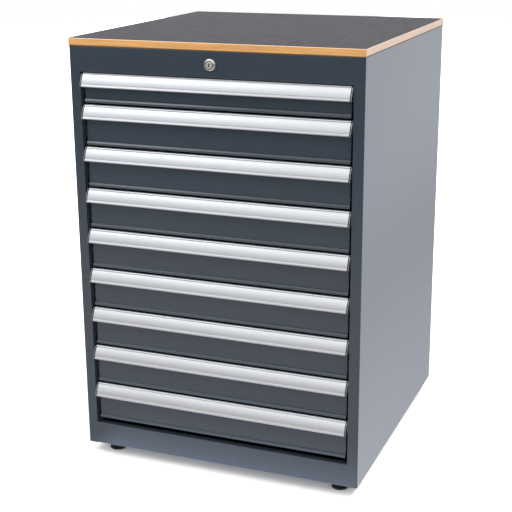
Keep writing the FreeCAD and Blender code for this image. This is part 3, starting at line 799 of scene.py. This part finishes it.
class StudioSettings(bpy.types.PropertyGroup):
    """Stage, light and camera."""

    floor_radius: FloatProperty(
        name="Floor radius", description="Reach of the floor", default=12.0, unit="LENGTH", min=1
    )
    shadow_reach: FloatProperty(
        name="Shadow reach",
        description="Where the floor has faded to white",
        default=1.5,
        unit="LENGTH",
        min=1,
    )
    key_watts: FloatProperty(
        name="Key light", description="Power of the front soft box", default=15.0, unit="POWER"
    )
    edge_watts: FloatProperty(
        name="Edge light", description="Power of the narrow soft box", default=5.8, unit="POWER"
    )
    top_watts: FloatProperty(
        name="Top light", description="Power of the top soft box", default=20.0, unit="POWER"
    )
    bounce_watts: FloatProperty(
        name="Bounce", description="Light off the floor in front", default=7.0, unit="POWER"
    )
    lens: FloatProperty(
        name="Lens", description="Focal length on a 36 mm sensor", default=80.554, unit="CAMERA"
    )
    camera_place: FloatVectorProperty(
        name="Camera place",
        description="Where the camera stands",
        default=(1.0265, -2.6739, 1.3292),
        unit="LENGTH",
    )
    camera_aim: FloatVectorProperty(
        name="Camera aim",
        description="Turn to the left, tilt down and roll of the camera",
        default=(math.radians(21.673), math.radians(16.9215), math.radians(-0.3876)),
        unit="ROTATION",
    )


# Operators


class CABINET_OT_finishes(bpy.types.Operator):
    """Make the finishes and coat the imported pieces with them"""

    bl_idname = "cabinet.finishes"
    bl_label = "Finishes"

    def execute(self, context):
        colours = context.scene.cabinet_colours
        self.make(colours, context.scene.cabinet_sizes)
        housing = ("side_panel_left", "side_panel_right", "base_panel", "top_panel", "rear_panel")
        coat("carcass_paint", *housing)
        coat("board_wood", "worktop_board")
        coat("top_facing", "worktop_facing")
        coat("foot_plastic", "levelling_feet")
        coat("stud_steel", "foot_studs")
        coat("zinc_steel", "rail_uprights", "cabinet_rails", "lock_bar", "lock_brackets")
        coat("chrome", "lock_cylinder")
        coat("lock_steel", "lock_barrel")
        for number in DRAWERS:
            coat("box_paint", f"drawer_{number}_box")
            coat("carcass_paint", f"drawer_{number}_front")
            coat("grip_aluminium", f"drawer_{number}_handle")
            coat("cap_plastic", f"drawer_{number}_caps")
            coat("zinc_steel", f"drawer_{number}_carriage")
        return {"FINISHED"}

    def make(self, colours, sizes):
        """Make every finish, each under the name of its slot where it has one."""
        paint("carcass_paint", colours.housing, roughness=0.2)
        paint("box_paint", colours.trays, roughness=0.45)
        aluminium("grip_aluminium", colours.grips)
        # The lip's finish is the handle's aluminium made darker: painted shade.
        aluminium("grip_lip_painted_shade", shade(colours.grips, 0.74))
        plastic("cap_plastic", colours.caps, roughness=0.16)
        plastic("foot_plastic", colours.feet, roughness=0.45)
        low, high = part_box("worktop_board")
        # The lowest band of the board's edge is painted dark as the shadow under the board.
        painted_shadow_band = 0.0025
        # The top band of the board's edge is painted pale as a highlight.
        painted_highlight_band = 0.0013
        wood("board_wood", colours.board, shadow_line=low.z + painted_shadow_band, rim=high.z - painted_highlight_band)
        facing("top_facing", colours.mat, sizes.mesh_pitch)
        steel("zinc_steel", colours.zinc, roughness=0.34, cells=160.0)
        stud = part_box("foot_studs")[0].z
        threaded("stud_steel", colours.zinc, nut_low=stud - 0.001, nut_high=stud + 0.008)
        bright_metal("chrome", colours.rosette, roughness=0.07, ring=0.0012, plating=0.9)
        bright_metal("lock_steel", colours.plug, roughness=0.26, ring=0.0006, plating=0.65)
        steel("wafer_painted_shade", colours.wafers, roughness=0.5, cells=900.0)


class CABINET_OT_housing(bpy.types.Operator):
    """Rivet the rear panel to the flanges of the side panels"""

    bl_idname = "cabinet.housing"
    bl_label = "Housing"

    def execute(self, context):
        sizes = context.scene.cabinet_sizes
        low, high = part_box("side_panel_right")
        radius = sizes.rivet_radius
        buried = -0.0002
        dome = [
            (POLE, 0.0006),
            (radius * 0.45, 0.00058),
            (radius * 0.8, 0.0004),
            (radius, 0.0001),
            (radius, buried),
            (POLE, buried),
        ]
        inset = 0.01
        margin = 0.04
        centre = Vector((high.x - inset, high.y, low.z + margin))
        first = turned("rivet", centre, REARWARD, dome, sides=24)
        step = (high.z - low.z - 2 * margin) / (sizes.rivets - 1)
        shifts = [
            (-2 * centre.x * side, 0, step * place)
            for side in (0, 1)
            for place in range(sizes.rivets)
            if side or place
        ]
        dress(repeated(first, shifts, "rear_rivets"), "zinc_steel", "cabinet")
        return {"FINISHED"}


class CABINET_OT_feet(bpy.types.Operator):
    """Turn the pads of the levelling feet"""

    bl_idname = "cabinet.feet"
    bl_label = "Levelling feet"

    def execute(self, context):
        low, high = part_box("levelling_feet")
        radius = 0.021
        hub = 0.011
        top = high.z
        centre = Vector((high.x - radius, low.y + radius, 0))
        section = [
            (POLE, 0),
            (radius - 0.0012, 0),
            (radius - 0.0004, 0.0005),
            (radius, 0.0014),
            (radius, 0.0045),
            (radius - 0.0006, 0.0056),
            (radius - 0.0018, 0.0062),
            (radius - 0.003, 0.0064),
            (hub + 0.0042, 0.0125),
            (hub + 0.001, 0.0178),
            (hub, top - 0.0008),
            (hub - 0.0008, top),
            (POLE, top),
        ]
        first = turned("foot", centre, UP, section, sides=64)
        other = -2 * centre.x
        far = high.y - low.y - 2 * radius
        pads = repeated(first, [(other, 0, 0), (0, far, 0), (other, far, 0)], "foot_pads")
        dress(pads, "foot_plastic", "cabinet", "levelling_feet")
        return {"FINISHED"}


class CABINET_OT_lock(bpy.types.Operator):
    """Turn the domed rosette with its tube, and the plug's face with the key slot"""

    bl_idname = "cabinet.lock"
    bl_label = "Central lock"

    def execute(self, context):
        self.rosette()
        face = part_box("lock_barrel")[0].y - FASCIA
        self.plug(face)
        self.wafers(LOCK_FACE + REARWARD * face)
        return {"FINISHED"}

    def rosette(self):
        """The rosette's dome, the tube behind it and the bore through both."""
        bore = 0.0077
        nose = 0.0098
        tube = 0.0095
        shoulder = -0.0012
        arc_steps = 9
        rim = (LOCK_HIGH.x - LOCK_LOW.x) / 2
        front = LOCK_LOW.y - FASCIA
        rear = LOCK_HIGH.y - FASCIA
        section = [(bore, rear), (bore, front + 0.0004), (bore + 0.0004, front)]
        for step in range(arc_steps + 1):
            angle = math.radians(90) * step / arc_steps
            radius = nose + (rim - nose) * math.sin(angle)
            travel = front + (shoulder - front) * (1 - math.cos(angle))
            section.append((radius, travel))
        section += [(rim, -0.0004), (rim - 0.0003, 0), (tube, 0), (tube, rear), (bore, rear)]
        rosette = turned("lock_rosette", LOCK_FACE, REARWARD, section, sides=72)
        dress(rosette, "chrome", "cabinet", "lock_cylinder")

    def plug(self, face):
        """The plug's face, with a turned ring and the key slot."""
        radius = 0.0072
        back = face + 0.0004
        proud = face - 0.0003
        sunk = face - 0.0001
        section = [
            (POLE, back),
            (radius, back),
            (radius, face),
            (radius - 0.0003, proud),
            (radius - 0.0012, proud),
            (radius - 0.0014, sunk),
            (radius - 0.0018, sunk),
            (radius - 0.002, proud),
            (POLE, proud),
        ]
        plate = turned("lock_plug_face", LOCK_FACE, REARWARD, section, sides=56)
        middle = LOCK_FACE + REARWARD * face
        half = Vector((0.0014, 0.002, 0.0037))
        cut(plate, block(middle - half, middle + half, "key_way"))
        dress(plate, "lock_steel", "lock_barrel")

    def wafers(self, middle):
        """The row of wafers that shows in the key slot, near black as painted shade in the slot.
        """
        count = 9
        spacing = 0.0008
        edge = 0.00008
        half = Vector((0.0013, 0.0016, 0.00035))
        lowest = middle + Vector((0, 0.0024, -0.0032))
        wafer = row(block(lowest - half, lowest + half, "wafer"), count, (0, 0, spacing))
        soften(wafer, edge, 1)
        dress(named(wafer, "key_way_wafers"), "wafer_painted_shade", "lock_barrel")


class CABINET_OT_fronts(bpy.types.Operator):
    """Round the bends of the nine drawer fronts"""

    bl_idname = "cabinet.fronts"
    bl_label = "Drawer fronts"

    def execute(self, context):
        sizes = context.scene.cabinet_sizes
        for number in DRAWERS:
            node = f"drawer_{number}_front"
            front = soften(joined_copy(node, f"front_panel_{number}"), sizes.front_edge, 3)
            self.flatten_bead(front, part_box(node)[0], sizes.bead_radius)
            dress(front, "carcass_paint", f"drawer_{number}", node)
        return {"FINISHED"}

    def flatten_bead(self, front, low, radius):
        """Take a narrow flat along the upper front of the rolled bead."""
        tilt = math.radians(33)
        depth = radius * 0.9
        height = radius * 1.28
        thickness = 0.002
        overhang = 1.05
        width = -2 * overhang * low.x
        outward = Vector((0, -math.cos(tilt), math.sin(tilt)))
        bead = Vector((0, low.y + radius, low.z + radius))
        deselect()
        bpy.ops.mesh.primitive_cube_add(
            size=1,
            location=bead + outward * (depth + thickness / 2),
            rotation=(-tilt, 0, 0),
            scale=(width, thickness, height),
        )
        smooth(cut(front, settle(bpy.context.object)), SHARP_BEAD)


class CABINET_OT_grips(bpy.types.Operator):
    """Finish the nine extruded handles and their end caps"""

    bl_idname = "cabinet.grips"
    bl_label = "Grips"

    def execute(self, context):
        sizes = context.scene.cabinet_sizes
        for number in DRAWERS:
            node = f"drawer_{number}_handle"
            grip = joined_copy(node, f"grip_{number}")
            dress(grip, "grip_aluminium", f"drawer_{number}", node)
            self.lip(grip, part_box(node)[0])
            soften(grip, sizes.grip_edge, 2)
            self.caps(number, sizes)
        return {"FINISHED"}

    def lip(self, grip, low):
        """Give the flared lip under the groove a darker copy of the aluminium: painted shade for
        the dark front that the lip mirrors.
        """
        lip_height = 0.0066
        grip.data.materials.append(finish_of("grip_lip_painted_shade"))
        for face in grip.data.polygons:
            forward = face.normal.y < -0.5
            if forward and face.center.z < low.z + lip_height:
                face.material_index = 1

    def caps(self, number, sizes):
        """Shape both caps of a handle, give them their plastic finish and a painted highlight on
        their rims.
        """
        node = f"drawer_{number}_caps"
        low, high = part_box(node)
        caps = joined_copy(node, f"grip_caps_{number}")
        self.shape_caps(caps, low, high, sizes)
        dress(caps, "cap_plastic", f"drawer_{number}", node)
        self.paint_rim_highlights(caps, high, sizes)
        soften(caps, sizes.cap_edge, 3)

    def shape_caps(self, caps, low, high, sizes):
        """Round the tip and the outline of both caps, and sink their faces into a rim."""
        tip = 0.004
        tip_edge = 0.0008
        outline_edge = 0.0005
        shortest = 0.002

        def at_tip(first, second):
            lengthwise = abs(first.x - second.x) > shortest
            foremost = max(first.y, second.y) < low.y + tip
            return lengthwise and foremost and first.z < low.z + tip

        def at_outline(first, second):
            return min(abs(first.x), abs(second.x)) > high.x - TOUCH

        def at_end(middle, normal):
            return abs(normal.x) > 0.9 and abs(middle.x) > high.x - TOUCH

        bpy.ops.object.mode_set(mode="EDIT")
        pick_edges(caps, at_tip)
        round_edges(tip_edge, 4)
        pick_edges(caps, at_outline)
        round_edges(outline_edge, 3)
        pick_faces(caps, at_end)
        bpy.ops.mesh.inset(thickness=sizes.cap_rim, use_individual=True)
        sink = {"value": -sizes.cap_depth}
        bpy.ops.mesh.extrude_region_shrink_fatten(TRANSFORM_OT_shrink_fatten=sink)
        bpy.ops.object.mode_set(mode="OBJECT")

    def paint_rim_highlights(self, caps, high, sizes):
        """Give the rims, but not the sunk faces within them, the handle's aluminium finish: a
        painted highlight round the dark caps' edges.
        """
        # Faces this near a cap's outer end take the painted highlight.
        bright = 0.00055
        caps.data.materials.append(finish_of("grip_aluminium"))
        for face in caps.data.polygons:
            outward = abs(face.center.x)
            sunk = abs(face.normal.x) > 0.95 and outward < high.x - sizes.cap_depth / 2
            if outward > high.x - bright and not sunk:
                face.material_index = 1


class CABINET_OT_trays(bpy.types.Operator):
    """Punch the rows of divider slots into the walls of the nine drawer boxes"""

    bl_idname = "cabinet.trays"
    bl_label = "Drawer boxes"

    def execute(self, context):
        sizes = context.scene.cabinet_sizes
        for number in DRAWERS:
            node = f"drawer_{number}_box"
            tray = joined_copy(node, f"tray_{number}")
            self.punch(tray, *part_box(node), sizes)
            smooth(tray, SHARP_TRAY)
            dress(tray, "box_paint", f"drawer_{number}", node)
        return {"FINISHED"}

    def punch(self, tray, low, high, sizes):
        """Cut one row of slots through both side walls and one through both end walls."""
        past_sides = 0.3155
        past_front = -0.0005
        past_rear = 0.6405
        middle = low.y + 0.32
        top = high.z - sizes.slot_below_rim
        foot = top - sizes.slot_height
        pitch = sizes.slot_pitch
        reach = pitch * (sizes.slots - 1) / 2
        half = sizes.slot_width / 2
        start = Vector((-past_sides, middle - reach - half, foot))
        end = Vector((past_sides, middle - reach + half, top))
        cut(tray, row(block(start, end, "side_slots"), sizes.slots, (0, pitch, 0)))
        start = Vector((-reach - half, low.y + past_front, foot))
        end = Vector((-reach + half, low.y + past_rear, top))
        cut(tray, row(block(start, end, "end_slots"), sizes.slots, (pitch, 0, 0)))


class CABINET_OT_stage(bpy.types.Operator):
    """Lay the floor, light the studio and place the camera"""

    bl_idname = "cabinet.stage"
    bl_label = "Stage"

    def execute(self, context):
        studio = context.scene.cabinet_studio
        self.floor(studio)
        self.world()
        self.lights(studio)
        self.camera(studio)
        return {"FINISHED"}

    def floor(self, studio):
        """A round floor that looks different straight, mirrored and to the light."""
        deselect()
        radius = studio.floor_radius
        bpy.ops.mesh.primitive_circle_add(vertices=128, radius=radius, fill_type="NGON")
        floor = named(bpy.context.object, "floor")
        made = bpy.data.materials.new("floor_white")
        made.use_nodes = True
        finish = Finish(made.node_tree)
        across, along, _ = finish.split(finish.place())
        paper = finish.diffuse((0.8, 0.8, 0.8, 1))
        seen = self.seen_floor(finish, across, along, studio.shadow_reach)
        mirrored = self.mirrored_floor(finish, across, along)
        straight, glossy = finish.rays()
        surface = finish.mix(glossy, finish.mix(straight, paper, seen), mirrored)
        finish.node("ShaderNodeOutputMaterial", inputs={"Surface": surface})
        floor.data.materials.append(made)

    def seen_floor(self, finish, across, along, shadow_reach):
        """Bright paper with the cabinet's shadow, white further out and beside the cabinet."""
        shadow_start = 0.9
        reach = (across * across + along * along).root()
        faded = ((reach - shadow_start) / (shadow_reach - shadow_start)).limited()
        far = (faded + across.rise(start=0.335, rate=60.0)).limited()
        bright = finish.diffuse((0.79, 0.77, 0.735, 1))
        return finish.add(finish.add(bright, bright), finish.emission(WHITE, far))

    def mirrored_floor(self, finish, across, along):
        """What the cabinet mirrors: a glow close in front of it, and the floor beyond it."""
        eye_x, eye_y = -0.315, -2.674
        slope = (across - eye_x) / (along - eye_y)
        hollow = 1.0 - (across - 0.8).size().rise(start=0.0, rate=2.2)
        beyond = 1.11 + slope.rise(start=0.221, rate=14.7) * 0.36 - hollow * 0.28
        ahead = FASCIA - along
        within = 1.0 - across.size().rise(start=0.33, rate=12.0)
        contact = (1.0 - ahead.size() * 3.3).limited() * within
        near = ((0.6 - ahead) * 2.5).limited()
        far = ((4.4 - ahead) / 3.0).limited()
        glow = far * far * 0.5 + near * 0.1 + contact * contact * 2.5
        warm = (1.0, 0.82, 0.71, 1)
        cold = (0.6, 0.74, 1.0, 1)
        front = finish.emission(finish.blend(contact, warm, cold), glow)
        back = finish.emission((0.885, 0.912, 1, 1), beyond)
        return finish.mix(along.rise(start=-0.375, rate=20.0), front, back)

    def world(self):
        """A white room, whose mirrored walls are dark in front and bright behind and above."""
        world = bpy.data.worlds.new("studio")
        world.use_nodes = True
        finish = Finish(world.node_tree)
        _, rear, up = finish.split(finish.node("ShaderNodeTexCoord", output="Generated"))
        horizon = up.rise(start=-0.03, rate=4.0) * 0.72
        sky = (rear.rise(start=0.0, rate=2.0) + horizon).limited()
        ceiling = up.rise(start=0.36, rate=2.4) * 0.55
        overhead = up.rise(start=0.88, rate=8.0) * 0.5
        wall = finish.background(sky + ceiling - overhead)
        straight, glossy = finish.rays()
        lit = finish.mix(glossy, finish.background(0.86), wall)
        surface = finish.mix(straight, lit, finish.background(1.0))
        finish.node("ShaderNodeOutputWorld", inputs={"Surface": surface})
        bpy.context.scene.world = world

    def lights(self, studio):
        """Two soft boxes in front, one above, and the light that the floor throws back."""
        middle = Vector((0, -0.2, 0.6))
        plinth = Vector((0, FASCIA, 0.25))
        key = self.soft_box("key_light", (-1.0, -2.15, 2.7), middle, (2.0, 1.9), studio.key_watts)
        key.data.color = (0.95, 0.975, 1.0)
        key.visible_glossy = False
        spot = (-1.5, -1.6, 2.85)
        edge = self.soft_box("edge_light", spot, middle, (0.9, 0.7), studio.edge_watts)
        edge.data.color = (0.84, 0.93, 1.0)
        top = self.soft_box("top_light", (0.3, 0.3, 3.3), middle, (2.6, 2.6), studio.top_watts)
        top.visible_glossy = False
        spot = (-0.1, -1.15, 0.03)
        bounce = self.soft_box("bounce_light", spot, plinth, (2.2, 0.7), studio.bounce_watts)
        bounce.visible_camera = False
        bounce.visible_glossy = False

    def soft_box(self, name, place, target, size, watts):
        """A rectangular area light aimed at a target."""
        light = bpy.data.lights.new(name, "AREA")
        light.shape = "RECTANGLE"
        light.size, light.size_y = size
        light.energy = watts
        lamp = bpy.data.objects.new(name, light)
        bpy.context.scene.collection.objects.link(lamp)
        lamp.location = place
        lamp.rotation_euler = (target - Vector(place)).to_track_quat("-Z", "Y").to_euler()
        return lamp

    def camera(self, studio):
        """The camera, turned by its yaw, tilt and roll."""
        yaw, tilt, roll = studio.camera_aim
        level = math.cos(tilt)
        forward = Vector((-math.sin(yaw) * level, math.cos(yaw) * level, -math.sin(tilt)))
        right = Vector((math.cos(yaw), math.sin(yaw), 0))
        up = right.cross(forward)
        side = math.cos(roll) * right + math.sin(roll) * up
        top = -math.sin(roll) * right + math.cos(roll) * up
        turn = Matrix((side, top, -forward)).transposed().to_4x4()
        lens = bpy.data.cameras.new("camera")
        lens.sensor_width = 36
        lens.lens = studio.lens
        camera = bpy.data.objects.new("camera", lens)
        bpy.context.scene.collection.objects.link(camera)
        camera.matrix_world = Matrix.Translation(studio.camera_place) @ turn
        bpy.context.scene.camera = camera


STEPS = (
    CABINET_OT_finishes,
    CABINET_OT_housing,
    CABINET_OT_feet,
    CABINET_OT_lock,
    CABINET_OT_fronts,
    CABINET_OT_grips,
    CABINET_OT_trays,
    CABINET_OT_stage,
)


class CABINET_PT_panel(bpy.types.Panel):
    """The cabinet's steps and settings in the sidebar"""

    bl_idname = "CABINET_PT_panel"
    bl_label = "Tool cabinet"
    bl_space_type = "VIEW_3D"
    bl_region_type = "UI"
    bl_category = "Tool cabinet"

    def draw(self, context):
        layout = self.layout
        scene = context.scene
        for step in STEPS:
            layout.operator(step.bl_idname)
        for settings in (scene.cabinet_colours, scene.cabinet_sizes, scene.cabinet_studio):
            for name in settings.__annotations__:
                layout.prop(settings, name)


CLASSES = (CabinetColours, CabinetSizes, StudioSettings, *STEPS, CABINET_PT_panel)


def register():
    for item in CLASSES:
        bpy.utils.register_class(item)
    bpy.types.Scene.cabinet_colours = PointerProperty(type=CabinetColours)
    bpy.types.Scene.cabinet_sizes = PointerProperty(type=CabinetSizes)
    bpy.types.Scene.cabinet_studio = PointerProperty(type=StudioSettings)


def unregister():
    del bpy.types.Scene.cabinet_studio
    del bpy.types.Scene.cabinet_sizes
    del bpy.types.Scene.cabinet_colours
    for item in reversed(CLASSES):
        bpy.utils.unregister_class(item)


def main():
    """Register the add-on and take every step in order."""
    register()
    bpy.context.scene.view_settings.view_transform = "Standard"
    bpy.ops.cabinet.finishes()
    bpy.ops.cabinet.housing()
    bpy.ops.cabinet.feet()
    bpy.ops.cabinet.lock()
    bpy.ops.cabinet.fronts()
    bpy.ops.cabinet.grips()
    bpy.ops.cabinet.trays()
    bpy.ops.cabinet.stage()


if __name__ == "__main__":
    main()
